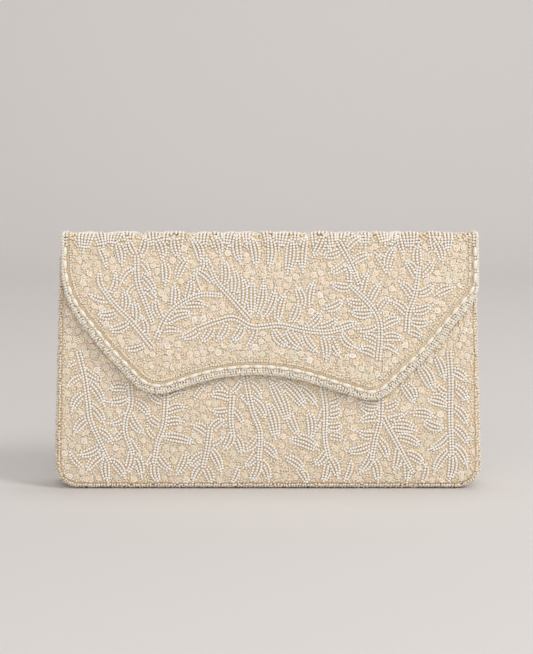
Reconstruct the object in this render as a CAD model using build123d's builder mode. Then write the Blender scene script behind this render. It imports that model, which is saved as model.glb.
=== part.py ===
"""Beaded envelope clutch purse: a boxy fabric body, a hinged flap with a wave-shaped edge, a magnetic snap.

Frame: the origin is the centre of the resting face, -Y out of the front, +Z up, +X to the right of
someone who faces the front. Units are millimetres.

The body is a stack of four layers all round: beadwork, satin, a stiffener and a lining. Each layer is
what lies between two copies of one box-like shape, each a stated depth under the bead surface, so
neighbouring layers share their faces. The flap is a stack of the same kind on arcs about the front
wall's own centre, so it lies along the front wall with an even gap.
"""

import os
from math import asin, copysign, cos, degrees, sin, sqrt

from build123d import *

# --- Driving dimensions -------------------------------------------------------------------------------

# Layers, from the outside in
bead_layer = 1.8
satin_thick = 0.5
stiffener_thick = 0.9
lining_thick = 0.5

# Body, measured over the beads
half_width_base = 117.3
half_width_top = 114.2
half_depth = 17.3
overall_height = 141.0
bulge_height = 40.0
wall_radius = 642.0
base_height = 6.0
side_corner_radius = 13.0
mouth_height = 127.5
gusset_height = 124.0

# Flap and the fold over the mouth
flap_gap = 1.0
flap_lining_thick = 0.4
flap_stiffener_thick = 0.8
hinge_gap = 1.2
flap_left = -112.4
flap_right = 114.7
flap_corners = [
    (flap_left, 105.0),
    (-89.0, 75.5),
    (-65.0, 50.5),
    (-8.0, 69.5),
    (60.0, 48.0),
    (87.5, 74.5),
    (flap_right, 107.0),
]
flap_corner_radii = [48.0, 150.0, 20.0, 108.0, 15.5, 150.0, 20.0]

# Trim round the flap, measured in from its edge. Up its two sides the trim is narrower by the pinch.
trim_margin = 0.4
rope_width = 3.4
side_pinch = 2.5
pearl_line = 4.65
cord_from = 5.9
cord_width = 1.0
cord_height = 1.0
pearl_radius = 1.15
pearl_half_length = 2.75
pearl_pitch = 7.15
spacer_radius = 0.65

# Mouth piping and the slip pocket on the back lining
piping_radius = 1.2
pocket_width = 120.0
pocket_bottom = 30.0
pocket_top = 95.0
pocket_seam_width = 3.0
pocket_seam_thick = 0.8
pocket_fabric = 0.5
hem_height = 6.0
hem_thick = 0.4

# Magnetic snap
snap_height = 84.0
snap_radius = 7.0
snap_cap_height = 1.9
snap_cap_wall = 0.4
snap_cap_fillet = 0.3
snap_hole_radius = 2.6
snap_magnet_inner = 2.9
snap_magnet_thick = 1.2
snap_base_thick = 0.3
snap_plate_thick = 0.6
snap_stud_radius = 2.0
snap_stud_length = 1.6
washer_radius = 6.5
washer_hole_radius = 1.5
washer_thick = 0.4
prong_offset = 4.2
prong_width = 2.4
prong_thick = 0.4
clearance = 0.1
cutter_margin = 0.2

# --- Worked out from those ----------------------------------------------------------------------------

satin_depth = bead_layer
stiffener_depth = satin_depth + satin_thick
lining_depth = stiffener_depth + stiffener_thick
wall_thick = lining_depth + lining_thick
flap_satin_from = flap_lining_thick + flap_stiffener_thick
flap_sandwich = flap_satin_from + satin_thick
flap_thick = flap_sandwich + bead_layer
beadwork_from = cord_from + cord_width
wall_centre_y = wall_radius - half_depth
flap_radius = wall_radius + flap_gap
reach = 150.0


def wall_y(radius, z):
    """Y of an arc about the front wall's centre, at a height."""
    return wall_centre_y - sqrt(radius**2 - (z - bulge_height) ** 2)


def half_width(z):
    """The body's half width over the beads, at a height."""
    return half_width_base + (half_width_top - half_width_base) * z / overall_height


def side_inset(inset):
    """The inset up the flap's two sides, where the rope is pinched narrower."""
    return min(inset, max(rope_width - side_pinch, inset - side_pinch))


# The two hinge lines lie in the middle of the fabric that folds there.
hinge_height = overall_height - bead_layer - flap_sandwich / 2
rear_hinge_y = -wall_y(wall_radius - (satin_depth + wall_thick) / 2, hinge_height)
front_hinge_y = wall_y(flap_radius + flap_sandwich / 2, hinge_height)
walls_top = hinge_height - hinge_gap
strip_front = front_hinge_y + hinge_gap
strip_rear = rear_hinge_y - hinge_gap
strip_bottom = hinge_height - flap_sandwich / 2

# --- Outlines, drawn into the sketch that calls them --------------------------------------------------


def draw_side_profile(depth, mode=Mode.ADD):
    """The body seen from its side, that deep under the bead surface: Y across, Z up."""
    radius = wall_radius - depth
    drop = asin((bulge_height - base_height) / (wall_radius - base_height))
    rise = asin((overall_height - bulge_height) / radius)
    corner_y = wall_centre_y - (wall_radius - base_height) * cos(drop)
    top_y = wall_y(radius, overall_height)
    with BuildLine() as profile:
        CenterArc((wall_centre_y, bulge_height), radius, 180 - degrees(rise), degrees(rise + drop))
        CenterArc((corner_y, base_height), base_height - depth, 180 + degrees(drop), 90 - degrees(drop))
        Line((corner_y, depth), (-corner_y, depth))
        CenterArc((-corner_y, base_height), base_height - depth, 270, 90 - degrees(drop))
        CenterArc((-wall_centre_y, bulge_height), radius, -degrees(drop), degrees(rise + drop))
        Line((-top_y, overall_height), (top_y, overall_height))
    make_face(profile.edges(), mode=mode)


def draw_front_outline(depth, mode=Mode.ADD):
    """The body seen from the front, that deep inside its side edges and base: X across, Z up."""
    top = half_width(overall_height) - depth
    bottom = half_width(depth) - depth
    with BuildLine() as outline:
        FilletPolyline(
            (-top, overall_height),
            (-bottom, depth),
            (bottom, depth),
            (top, overall_height),
            radius=side_corner_radius - depth,
        )
        Line((top, overall_height), (-top, overall_height))
    make_face(outline.edges(), mode=mode)


def draw_flap_outline(inset=0.0, mode=Mode.ADD):
    """The flap seen from the front, that far inside its edge. It runs on past the fold above it."""
    above = overall_height + 2 * beadwork_from
    route = [Vector(flap_left, above), *[Vector(p) for p in flap_corners], Vector(flap_right, above)]
    insets = [side_inset(inset), *[inset] * (len(route) - 3), side_inset(inset)]
    corners, radii = [], []
    for i, radius in enumerate(flap_corner_radii):
        before, at, after = route[i : i + 3]
        way_in, way_out = (at - before).normalized(), (after - at).normalized()
        inward = [way.rotate(Axis.Z, 90) for way in (way_in, way_out)]
        shared = inward[0].dot(inward[1])
        shares = [insets[i] - shared * insets[i + 1], insets[i + 1] - shared * insets[i]]
        corners.append(at + (inward[0] * shares[0] + inward[1] * shares[1]) * (1 / (1 - shared**2)))
        radii.append(radius - copysign(inset, way_in.cross(way_out).Z))
    left, right = flap_left + insets[0], flap_right - insets[-1]
    with BuildLine() as outline:
        FilletPolyline((left, above), *corners, (right, above), radius=radii)
        Line((right, above), (left, above))
    make_face(outline.edges(), mode=mode)


def draw_flap_profile(from_height, to_height):
    """The flap seen from its side, between two heights over its inner face: Y across, Z up."""
    outer, inner = flap_radius + to_height, flap_radius + from_height
    low = min(z for _, z in flap_corners)
    middle = (low + walls_top) / 2
    with BuildLine() as profile:
        ThreePointArc(*[(wall_y(outer, z), z) for z in (low, middle, walls_top)])
        Line((wall_y(outer, walls_top), walls_top), (wall_y(inner, walls_top), walls_top))
        ThreePointArc(*[(wall_y(inner, z), z) for z in (walls_top, middle, low)])
        Line((wall_y(inner, low), low), (wall_y(outer, low), low))
    make_face(profile.edges())


# --- Body layers --------------------------------------------------------------------------------------


def body_block(depth):
    """The whole body as a solid block, that deep under the bead surface."""
    with BuildPart() as block:
        with BuildSketch(Plane.YZ):
            draw_side_profile(depth)
        extrude(amount=reach, both=True)
        with BuildSketch(Plane.XZ):
            draw_front_outline(depth)
        extrude(amount=reach, both=True, mode=Mode.INTERSECT)
    return block.part


def wall_room(facing, top):
    """The space that the front (facing -1) or back (facing 1) wall may fill."""
    with BuildPart() as room:
        with BuildSketch(Plane.YZ):
            with Locations((facing * half_depth, (base_height + top) / 2)):
                Rectangle(2 * half_depth, top - base_height)
            draw_side_profile(wall_thick, mode=Mode.SUBTRACT)
        extrude(amount=reach, both=True)
    return room.part


def gusset_room(side):
    """The space that the left (side -1) or right (side 1) gusset may fill, between the two walls."""
    with BuildPart() as room:
        with BuildSketch(Plane.YZ):
            draw_side_profile(wall_thick)
            with Locations((0, (base_height + gusset_height) / 2)):
                Rectangle(3 * half_depth, gusset_height - base_height, mode=Mode.INTERSECT)
        extrude(amount=side * reach)
    return room.part


def base_room():
    """The space under the walls and the gussets."""
    with BuildPart() as room:
        with BuildSketch():
            Rectangle(2 * reach, 3 * half_depth)
        extrude(amount=base_height)
    return room.part


def body_layer(label, outer_block, inner_block, room, opening=None):
    """What lies between two nested blocks, inside a room."""
    with BuildPart() as layer:
        add(outer_block)
        add(inner_block, mode=Mode.SUBTRACT)
        add(room, mode=Mode.INTERSECT)
        if opening:
            add(opening, mode=Mode.SUBTRACT)
    layer.part.label = label
    return layer.part


def mouth_piping():
    """A covered cord along the top edge of the front wall."""
    middle_y = wall_y(wall_radius - (satin_depth + wall_thick) / 2, mouth_height)
    length = 2 * (half_width(mouth_height) - bead_layer)
    with BuildPart() as piping:
        with BuildSketch(Plane.YZ.offset(-length / 2)):
            with Locations((middle_y, mouth_height + piping_radius)):
                Circle(piping_radius)
        extrude(amount=length)
    piping.part.label = "mouth_piping"
    return piping.part


def patch(label, from_depth, to_depth, bottom, top, hollow_depth=0.0):
    """A patch over the back lining. A hollow behind it leaves a seam along three sides."""
    with BuildPart() as cloth:
        with BuildSketch(Plane.YZ):
            draw_side_profile(from_depth)
            draw_side_profile(to_depth, mode=Mode.SUBTRACT)
            with Locations((half_depth, (bottom + top) / 2)):
                Rectangle(2 * half_depth, top - bottom, mode=Mode.INTERSECT)
        extrude(amount=pocket_width / 2, both=True)
        if hollow_depth:
            with BuildSketch(Plane.YZ):
                draw_side_profile(from_depth)
                draw_side_profile(from_depth + hollow_depth, mode=Mode.SUBTRACT)
                with Locations((half_depth, (bottom + pocket_seam_width + top) / 2)):
                    Rectangle(2 * half_depth, top - bottom - pocket_seam_width, mode=Mode.INTERSECT)
            extrude(amount=pocket_width / 2 - pocket_seam_width, both=True, mode=Mode.SUBTRACT)
    cloth.part.label = label
    return cloth.part


# --- Flap and fold layers -----------------------------------------------------------------------------


def flap_layer(label, from_height, to_height, inset, band_width=0.0):
    """One layer of the flap, inside its edge by inset, or only a band of that width along it."""
    with BuildPart() as layer:
        with BuildSketch(Plane.YZ):
            draw_flap_profile(from_height, to_height)
        extrude(amount=reach, both=True)
        with BuildSketch(Plane.XZ):
            draw_flap_outline(inset)
            if band_width:
                draw_flap_outline(inset + band_width, mode=Mode.SUBTRACT)
        extrude(amount=reach, both=True, mode=Mode.INTERSECT)
    layer.part.label = label
    return layer.part


def fold_layer(label, from_height, to_height, inset, band_width=0.0):
    """One layer of the strip over the mouth, or only a band of that width along its two ends."""
    length = strip_rear - strip_front
    outer = flap_right - flap_left - 2 * side_inset(inset)
    inner = flap_right - flap_left - 2 * side_inset(inset + band_width)
    with BuildPart() as layer:
        with BuildSketch(Plane.XY.offset(strip_bottom + from_height)):
            with Locations(((flap_left + flap_right) / 2, (strip_front + strip_rear) / 2)):
                Rectangle(outer, length)
                if band_width:
                    Rectangle(inner, length, mode=Mode.SUBTRACT)
        extrude(amount=to_height - from_height)
    layer.part.label = label
    return layer.part


# --- Pearls and spacer beads --------------------------------------------------------------------------


def pearl():
    """A rice-shaped pearl along X."""
    with BuildPart() as bead:
        with BuildSketch():
            Ellipse(pearl_half_length, pearl_radius)
            with Locations((0, -pearl_radius)):
                Rectangle(3 * pearl_half_length, 2 * pearl_radius, mode=Mode.SUBTRACT)
        revolve(axis=Axis.X)
    return bead.part


def spacer():
    """A small round bead that sits between two pearls."""
    with BuildPart() as bead:
        Sphere(spacer_radius)
    return bead.part


def flap_places(first):
    """Planes along the flap's pearl line, a pitch apart, the first that many pitches from its left end."""
    seat = flap_radius + flap_sandwich + pearl_radius + clearance
    with BuildSketch() as guide:
        draw_flap_outline(pearl_line)
        with Locations((0, walls_top - pearl_half_length)):
            Rectangle(2 * reach, 2 * reach, align=(Align.CENTER, Align.MAX), mode=Mode.INTERSECT)
    top_edge = guide.edges().sort_by(Axis.Y)[-1]
    route = Wire([edge for edge in guide.edges() if edge != top_edge])
    pitch = route.length / round(route.length / pearl_pitch)
    places = []
    for i in range(round(route.length / pitch + 1 - 2 * first)):
        along = (i + first) * pitch / route.length
        at, way = route.position_at(along), route.tangent_at(along)
        rise = at.Y - bulge_height
        run = sqrt(seat**2 - rise**2)
        places.append(
            Plane(
                origin=(at.X, wall_y(seat, at.Y), at.Y),
                x_dir=(way.X, way.Y * rise / run, way.Y),
                z_dir=(0, -run, rise),
            )
        )
    return places


def fold_places(count):
    """Planes along both ends of the strip over the mouth, a pitch apart about its middle."""
    seat = strip_bottom + flap_sandwich + pearl_radius + clearance
    middle = (strip_front + strip_rear) / 2
    return [
        Plane(origin=(x, middle + pearl_pitch * (i - (count - 1) / 2), seat), x_dir=(0, 1, 0))
        for x in (flap_left + side_inset(pearl_line), flap_right - side_inset(pearl_line))
        for i in range(count)
    ]


def bead_row(label, bead, places):
    """The same bead at each place, as separate solids of one piece."""
    with BuildPart() as row:
        with Locations(*places):
            add(bead)
    row.part.label = label
    return row.part


# --- Magnetic snap ------------------------------------------------------------------------------------


def snap_seat(radius):
    """A plane square to the front wall at the snap, at that distance from the wall's centre."""
    lean = asin((snap_height - bulge_height) / wall_radius)
    at = (0, wall_centre_y - radius * cos(lean), bulge_height + radius * sin(lean))
    return Plane(origin=at, x_dir=(1, 0, 0), z_dir=(0, -cos(lean), sin(lean)))


def snap_hole():
    """The round window in the front beadwork that the snap's socket sits in."""
    with BuildPart() as window:
        with BuildSketch(snap_seat(wall_radius)):
            Circle(snap_radius + 4 * clearance)
        extrude(amount=wall_thick, both=True)
    return window.part


def draw_prongs(grow=0.0):
    """The cross-sections of a snap's two flat prongs."""
    with Locations((-prong_offset, 0), (prong_offset, 0)):
        Rectangle(prong_thick + grow, prong_width + grow)


def socket_cap(seat):
    """The socket's pressed cover, open behind, with the stud's hole in front."""
    with BuildPart() as cap:
        with BuildSketch(seat):
            Circle(snap_radius)
        extrude(amount=snap_cap_height)
        fillet(cap.faces().sort_by(Axis(seat.origin, seat.z_dir))[-1].edges(), snap_cap_fillet)
        with BuildSketch(seat):
            Circle(snap_radius - snap_cap_wall)
        extrude(amount=snap_cap_height - snap_cap_wall, mode=Mode.SUBTRACT)
        with BuildSketch(seat):
            Circle(snap_hole_radius)
        extrude(amount=snap_cap_height, mode=Mode.SUBTRACT)
    cap.part.label = "snap_socket_cap"
    return cap.part


def socket_magnet(seat):
    """A ring magnet inside the cover."""
    with BuildPart() as magnet:
        with BuildSketch(seat.offset(snap_base_thick)):
            Circle(snap_radius - snap_cap_wall - clearance)
            Circle(snap_magnet_inner, mode=Mode.SUBTRACT)
        extrude(amount=snap_magnet_thick)
    magnet.part.label = "snap_socket_magnet"
    return magnet.part


def socket_base(seat):
    """The plate behind the magnet, with two prongs through the satin and the stiffener."""
    with BuildPart() as base:
        with BuildSketch(seat):
            Circle(snap_radius - snap_cap_wall - clearance)
        extrude(amount=snap_base_thick)
        with BuildSketch(seat):
            draw_prongs()
        extrude(amount=-satin_thick - stiffener_thick)
    base.part.label = "snap_socket_base"
    return base.part


def snap_stud(seat):
    """The flap's half of the snap: a plate with a stud towards the body and prongs into the flap."""
    with BuildPart() as stud:
        with BuildSketch(seat):
            Circle(snap_radius)
        extrude(amount=-snap_plate_thick)
        with BuildSketch(seat):
            Circle(snap_stud_radius)
        extrude(amount=-snap_plate_thick - snap_stud_length)
        with BuildSketch(seat):
            draw_prongs()
        extrude(amount=flap_satin_from)
    stud.part.label = "snap_stud"
    return stud.part


def snap_washer(label, seat):
    """A thin washer that two prongs pass through."""
    with BuildPart() as ring:
        with BuildSketch(seat):
            Circle(washer_radius)
            Circle(washer_hole_radius, mode=Mode.SUBTRACT)
        extrude(amount=washer_thick)
        with BuildSketch(seat):
            draw_prongs(clearance)
        extrude(amount=washer_thick, mode=Mode.SUBTRACT)
    ring.part.label = label
    return ring.part


def pierce(piece, seat, washer_seat, washer_way):
    """Cuts the prongs' slots through a layer, and room for the washer up to one side of it."""
    with BuildPart() as pierced:
        add(piece)
        with BuildSketch(seat):
            draw_prongs(clearance)
        extrude(amount=wall_thick, both=True, mode=Mode.SUBTRACT)
        with BuildSketch(washer_seat):
            Circle(washer_radius + clearance)
        extrude(amount=washer_way * (washer_thick + cutter_margin), mode=Mode.SUBTRACT)
    pierced.part.label = piece.label
    return pierced.part


# --- The pieces ---------------------------------------------------------------------------------------

blocks = [body_block(d) for d in (0, satin_depth, stiffener_depth, lining_depth, wall_thick)]
rooms = {
    "front": wall_room(-1, mouth_height),
    "back": wall_room(1, walls_top),
    "base": base_room(),
    "left_gusset": gusset_room(-1),
    "right_gusset": gusset_room(1),
}
pieces = []
for i, material in enumerate(("beadwork", "satin", "stiffener", "lining")):
    for panel, room in rooms.items():
        window = snap_hole() if (panel, material) == ("front", "beadwork") else None
        pieces.append(body_layer(f"{panel}_{material}", blocks[i], blocks[i + 1], room, window))

pocket_depth = wall_thick + pocket_seam_thick + pocket_fabric
pieces += [
    mouth_piping(),
    patch("slip_pocket", wall_thick, pocket_depth, pocket_bottom, pocket_top, pocket_seam_thick),
    patch("pocket_hem", pocket_depth, pocket_depth + hem_thick, pocket_top - hem_height, pocket_top),
]

for name, make_layer in (("flap", flap_layer), ("fold", fold_layer)):
    pieces += [
        make_layer(f"{name}_lining", 0, flap_lining_thick, 2 * trim_margin),
        make_layer(f"{name}_stiffener", flap_lining_thick, flap_satin_from, rope_width),
        make_layer(f"{name}_satin", flap_satin_from, flap_sandwich, trim_margin),
        make_layer(f"{name}_beadwork", flap_sandwich, flap_thick, beadwork_from),
        make_layer(f"{name}_edge_rope", flap_sandwich, flap_thick, 0, rope_width),
        make_layer(f"{name}_edge_cord", flap_sandwich, flap_sandwich + cord_height, cord_from, cord_width),
    ]
pieces += [
    bead_row("flap_edge_pearls", pearl(), flap_places(0.5)),
    bead_row("flap_edge_spacers", spacer(), flap_places(1.0)),
    bead_row("fold_edge_pearls", pearl(), fold_places(2)),
    bead_row("fold_edge_spacers", spacer(), fold_places(1)),
]

socket_seat = snap_seat(wall_radius - satin_depth)
socket_washer_seat = snap_seat(wall_radius - lining_depth)
stud_seat = snap_seat(flap_radius - clearance)
stud_washer_seat = snap_seat(flap_radius + flap_satin_from - washer_thick - clearance)
pieces += [
    socket_cap(socket_seat),
    socket_magnet(socket_seat),
    socket_base(socket_seat),
    snap_washer("snap_socket_washer", socket_washer_seat),
    snap_stud(stud_seat),
    snap_washer("snap_stud_washer", stud_washer_seat),
]

os.makedirs("parts", exist_ok=True)
for piece in pieces:
    if piece.label in ("front_satin", "front_stiffener"):
        piece = pierce(piece, socket_seat, socket_washer_seat.offset(washer_thick), -1)
    if piece.label in ("flap_lining", "flap_stiffener"):
        piece = pierce(piece, stud_seat, stud_washer_seat, 1)
    export_step(piece, f"parts/{piece.label}.step")
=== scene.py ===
"""The looks of the beaded clutch purse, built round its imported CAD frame.

Lengths are millimetres until a mesh is made. Beads are laid out on flat design planes, one for each
panel, and each panel has a function that carries a design position and a height over the satin to
its place on the purse. The flap's plane runs on over the fold: past the fold line its second
coordinate is the distance along the cloth.
"""

import math
from collections import defaultdict

import bpy
import numpy as np
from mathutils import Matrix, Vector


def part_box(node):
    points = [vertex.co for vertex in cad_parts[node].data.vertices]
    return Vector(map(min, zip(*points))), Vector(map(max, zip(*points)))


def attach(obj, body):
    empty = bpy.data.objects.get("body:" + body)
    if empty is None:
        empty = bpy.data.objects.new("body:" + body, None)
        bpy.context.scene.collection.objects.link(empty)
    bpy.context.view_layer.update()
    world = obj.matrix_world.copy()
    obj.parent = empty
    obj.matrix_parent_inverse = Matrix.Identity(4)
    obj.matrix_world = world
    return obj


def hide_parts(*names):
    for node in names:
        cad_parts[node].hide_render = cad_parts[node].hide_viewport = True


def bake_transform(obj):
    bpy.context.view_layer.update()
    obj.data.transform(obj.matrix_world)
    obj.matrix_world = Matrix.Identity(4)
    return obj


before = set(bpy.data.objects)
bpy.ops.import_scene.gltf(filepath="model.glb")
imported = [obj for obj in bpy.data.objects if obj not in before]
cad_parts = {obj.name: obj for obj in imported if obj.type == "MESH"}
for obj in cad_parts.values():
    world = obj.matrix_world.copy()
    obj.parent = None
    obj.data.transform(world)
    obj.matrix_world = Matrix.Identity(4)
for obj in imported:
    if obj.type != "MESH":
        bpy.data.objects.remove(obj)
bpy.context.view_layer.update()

MM = 0.001
SEED = 11


def edge(node, axis, side):
    """Where a CAD node starts (side 0) or ends (side 1) along an axis, in millimetres."""
    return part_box(node)[side]["xyz".index(axis)] / MM


def middle(node, axis):
    """Where the middle of a CAD node is along an axis, in millimetres."""
    return (edge(node, axis, 0) + edge(node, axis, 1)) / 2


# --- Dimensions, from the frame or as in the CAD ---

WALL_RADIUS = 642.0
BULGE_HEIGHT = 40.0
BEAD_LAYER = 1.8
RIM = 5.0
CORNER = 13.0
FLAP_GAP = 1.0
HALF_WIDTH_BASE = 117.3
HALF_WIDTH_TOP = 114.2
OVERALL_HEIGHT = 141.0
half_depth = edge("back_beadwork", "y", 1)
mouth_height = edge("front_beadwork", "z", 1)
gusset_top = edge("left_gusset_beadwork", "z", 1)
flap_left, flap_right = edge("flap_edge_rope", "x", 0), edge("flap_edge_rope", "x", 1)
strip_top = edge("fold_satin", "z", 1)
flap_sandwich = strip_top - edge("fold_lining", "z", 0)
WALL_CENTRE = WALL_RADIUS - half_depth
WALL_SATIN = WALL_RADIUS - BEAD_LAYER
FLAP_SATIN = WALL_RADIUS + FLAP_GAP + flap_sandwich

# The flap's outline: its lower corners, the height of its side corners, and the radius at each corner
FLAP_CORNERS = [(-89.0, 75.5), (-65.0, 50.5), (-8.0, 69.5), (60.0, 48.0), (87.5, 74.5)]
FLAP_SIDE_CORNERS = (105.0, 107.0)
FLAP_RADII = [48.0, 150.0, 20.0, 108.0, 15.5, 150.0, 20.0]
# Its trim, as distances inside the outline
ROPE_WIDTH = 3.4
SIDE_PINCH = 2.5
CORD_LINE = 6.4
BEADWORK_FROM = 6.9

# Beads: their pitch along a thread, from row to row, and their sizes
BEAD_PITCH = 1.52
ROW_PITCH = 2.06
BEAD_RADIUS = 0.86
BEAD_HALF_LENGTH = 0.9
SEQUIN_RADIUS = 1.85


# --- Meshes ---


def make_object(name, points, quads, tris, material, painted_light=None):
    """A smooth mesh object from points in millimetres and faces of four and three corners."""
    mesh = bpy.data.meshes.new(name)
    quads = np.asarray(quads, np.int32).reshape(-1, 4)
    tris = np.asarray(tris, np.int32).reshape(-1, 3)
    mesh.vertices.add(len(points))
    mesh.vertices.foreach_set("co", (np.asarray(points) * MM).astype(np.float32).ravel())
    loops = np.concatenate([quads.ravel(), tris.ravel()])
    mesh.loops.add(len(loops))
    mesh.loops.foreach_set("vertex_index", loops)
    starts = np.concatenate([np.arange(len(quads)) * 4, len(quads) * 4 + np.arange(len(tris)) * 3])
    mesh.polygons.add(len(starts))
    mesh.polygons.foreach_set("loop_start", starts.astype(np.int32))
    mesh.polygons.foreach_set("use_smooth", np.full(len(starts), True))
    mesh.update(calc_edges=True)
    # Each point's painted light level, 0 for full painted shade and 1 for none, for the bead materials to
    # read
    if painted_light is not None:
        mesh.attributes.new("painted_light", "FLOAT", "POINT").data.foreach_set("value", painted_light.astype(np.float32))
    mesh.materials.append(material)
    made = bpy.data.objects.new(name, mesh)
    bpy.context.scene.collection.objects.link(made)
    return made


def turned(profile, segments, poles=()):
    """Points and faces of (radius, z) rings turned about Z: a closed loop, or ended by poles at two z."""
    angles = np.arange(segments) * 2 * math.pi / segments
    circle = np.stack([np.cos(angles), np.sin(angles), np.ones(segments)], 1)
    points = np.concatenate([circle * (r, r, z) for r, z in profile])
    turn = np.arange(segments)
    after = (turn + 1) % segments
    quads, tris = [], np.zeros((0, 3), int)
    for k in range(len(profile) - 1 if poles else len(profile)):
        a, b = k * segments, (k + 1) % len(profile) * segments
        quads.append(np.stack([turn + a, turn + b, after + b, after + a], 1))
    if poles:
        first, last = len(points), len(points) - segments
        top = np.stack([np.full(segments, first), turn, after], 1)
        bottom = np.stack([np.full(segments, first + 1), after + last, turn + last], 1)
        tris = np.concatenate([top, bottom])
        points = np.concatenate([points, [(0, 0, z) for z in poles]])
    return points, np.concatenate(quads), tris


THREADED_BEAD = turned([(0.62, 0.76), (1.0, 0.0), (0.62, -0.76)], 8, (0.72, -0.72))
SEED_BEAD = turned([(0.7, 0.72), (1.0, 0.0), (0.7, -0.72)], 8, (0.05, -0.05))
SEQUIN = turned([(0.22, 0.0), (0.62, -0.02), (1.0, 0.14), (0.95, 0.24), (0.62, 0.09), (0.22, 0.1)], 12)
# Painted light on each of a sequin's rings: painted shade in the cup round its hole, fading out towards
# the rim, which keeps its own colour and so stands out as a painted bright ring
SEQUIN_PAINTED_LIGHT = np.repeat([0.2, 0.3, 0.9, 1.0, 0.5, 0.35], 12)


def unit(vectors):
    return vectors / np.maximum(np.linalg.norm(vectors, axis=1), 1e-9)[:, None]


HEIGHT_COLUMN = 4


class Beads:
    """Beads on one panel, in its design plane: place, thread direction, height, sizes and tilt."""

    def __init__(self):
        self.rows = []

    def add(self, x, s, direction, height, radius=BEAD_RADIUS, half_length=BEAD_HALF_LENGTH, tilt=0.0):
        self.rows.append((x, s, direction[0], direction[1], height, radius, half_length, tilt))

    def array(self):
        return np.array(self.rows, float).reshape(-1, 8)


def bead_mesh(rows, place, solid):
    """One solid at every row, and each point's painted light, from 0 next to the cloth to 1 away from it.

    A tilt of 1 stands the hole square to the cloth. At 0 a point shows full painted shade, as a hole does.
    """
    x, s, dx, ds, height, radius, half_length, tilt = rows.T
    at, normal = place(x, s, height)
    step = 0.2
    ahead = place(x + dx * step, s + ds * step, height)[0]
    behind = place(x - dx * step, s - ds * step, height)[0]
    thread = unit(ahead - behind)
    across = unit(np.cross(normal, thread))
    lean = np.clip(tilt, -1, 1) * math.pi / 2
    axis = unit(thread * np.cos(lean)[:, None] + normal * np.sin(lean)[:, None])
    up = np.cross(axis, across)
    points, quads, tris = solid
    local = points[None, :, :] * np.stack([radius, radius, half_length], 1)[:, None, :]
    basis = np.stack([up, across, axis], 1)
    offset = np.einsum("nvk,nkj->nvj", local, basis)
    # Painted shade: the side of each bead towards the cloth gets a low value and so a darker, warmer
    # colour, standing in for shade between the beads and light bounced off the satin
    painted_light = 0.5 + 0.5 * np.einsum("nvj,nj->nv", offset, normal) / radius[:, None]
    # A seed bead's hole is given full painted shade
    if solid is SEED_BEAD:
        painted_light[:, -2:] = 0.0
    # A sequin takes its painted light and shade ring by ring from the table of its rings
    if solid is SEQUIN:
        painted_light[:] = SEQUIN_PAINTED_LIGHT
    first = (np.arange(len(rows)) * len(points))[:, None, None]
    faces = (quads[None] + first).reshape(-1, 4), (tris[None] + first).reshape(-1, 3)
    return (at[:, None, :] + offset).reshape(-1, 3), *faces, painted_light.ravel()


# --- Surfaces ---


def half_width(z):
    return HALF_WIDTH_BASE + (HALF_WIDTH_TOP - HALF_WIDTH_BASE) * z / OVERALL_HEIGHT


INNER = half_width(CORNER) - CORNER


def wall_depth(z, radius=WALL_SATIN):
    """How far in front of or behind the middle a wall's surface is, at a height."""
    return np.sqrt(radius**2 - (z - BULGE_HEIGHT) ** 2) - WALL_CENTRE


def wall_place(facing):
    """The front (facing -1) or back (facing 1) wall, rounded over towards its sides and the base."""

    def place(x, s, height):
        x, s, height = np.broadcast_arrays(*[np.asarray(v, float) for v in (x, s, height)])
        side, reach = np.where(x < 0, -1.0, 1.0), np.abs(x)
        cx, cz = np.maximum(reach - INNER, 0), np.maximum(CORNER - s, 0)
        rho = np.maximum(np.hypot(cx, cz), 1e-9)
        low = s < CORNER
        corner = low & (reach > INNER)
        straight = np.where(low, RIM - s, reach - half_width(s) + RIM)
        past = np.where(corner, rho - (CORNER - RIM), straight)
        past = np.maximum(past, 0)
        way_x = np.where(corner, side * cx / rho, np.where(low, 0, side))
        way_z = np.where(corner, -cz / rho, np.where(low, -1.0, 0))
        arc = RIM - BEAD_LAYER / 2
        turn = np.minimum(past / arc, math.pi / 2)
        rim = RIM - BEAD_LAYER
        bx, bz = x - way_x * past, s - way_z * past
        depth = wall_depth(bz) - rim * (1 - np.cos(turn))
        slope = (bz - BULGE_HEIGHT) / WALL_SATIN
        sine, cosine = np.sin(turn), np.cos(turn)
        normal = unit(np.stack([way_x * sine, facing * cosine, way_z * sine + slope * cosine], -1))
        at = np.stack([bx + way_x * rim * sine, facing * depth, bz + way_z * rim * sine], -1)
        return at + normal * height[..., None], normal

    return place


BAND_SIDE = gusset_top - CORNER
BAND_ARC = (CORNER - BEAD_LAYER / 2) * math.pi / 2
BAND_BASE = 2 * INNER
BAND_LENGTH = 2 * BAND_SIDE + 2 * BAND_ARC + BAND_BASE
GUSSET_END = BAND_SIDE + BAND_ARC
BAND_PARTS = (("left_gusset", 0, GUSSET_END), ("base", GUSSET_END, BAND_LENGTH - GUSSET_END),
              ("right_gusset", BAND_LENGTH - GUSSET_END, BAND_LENGTH))


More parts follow.
